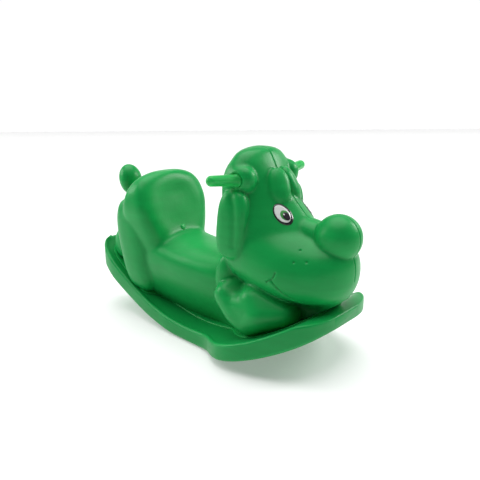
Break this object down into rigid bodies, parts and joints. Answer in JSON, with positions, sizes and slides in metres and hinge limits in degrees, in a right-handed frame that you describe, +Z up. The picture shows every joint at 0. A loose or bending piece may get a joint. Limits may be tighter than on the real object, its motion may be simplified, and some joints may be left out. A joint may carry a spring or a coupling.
{
  "type": "rocking toy",
  "caption": "Dog-shaped floor rocker for a small child: a hollow plastic dog with a seat and side hand grips, screwed to a curved rocker board.",
  "frame": {"origin": "on the floor, under the middle of the object's length and width, where the board touches the floor", "axes": "+X towards the dog's nose, +Y towards the dog's left, +Z up"},
  "size_m": [0.757, 0.351, 0.462],
  "materials": {
    "body_plastic": "semi-gloss moulded polyethylene, green through and through",
    "base_plastic": "semi-gloss moulded polyethylene, green through and through",
    "grip_plastic": "smooth lighter green moulded plastic",
    "plug_plastic": "small push-in plugs of the same green plastic",
    "eye_decal": "printed film: white eye with a green iris, black pupil and black outline",
    "bar_steel": "zinc plated steel tube",
    "screw_steel": "zinc plated pan-head screws"
  },
  "bodies": {
    "root": {"body_shell": "body_plastic", "rocker_base": "base_plastic", "handle_bar": "bar_steel", "grip_right": "grip_plastic", "grip_left": "grip_plastic", "eye_right": "eye_decal", "eye_left": "eye_decal", "seat_plug": "plug_plastic", "base_plug": "plug_plastic", "base_screw_1": "screw_steel", "base_screw_2": "screw_steel", "base_screw_3": "screw_steel", "base_screw_4": "screw_steel", "base_screw_5": "screw_steel", "base_screw_6": "screw_steel"}
  },
  "joints": []
}
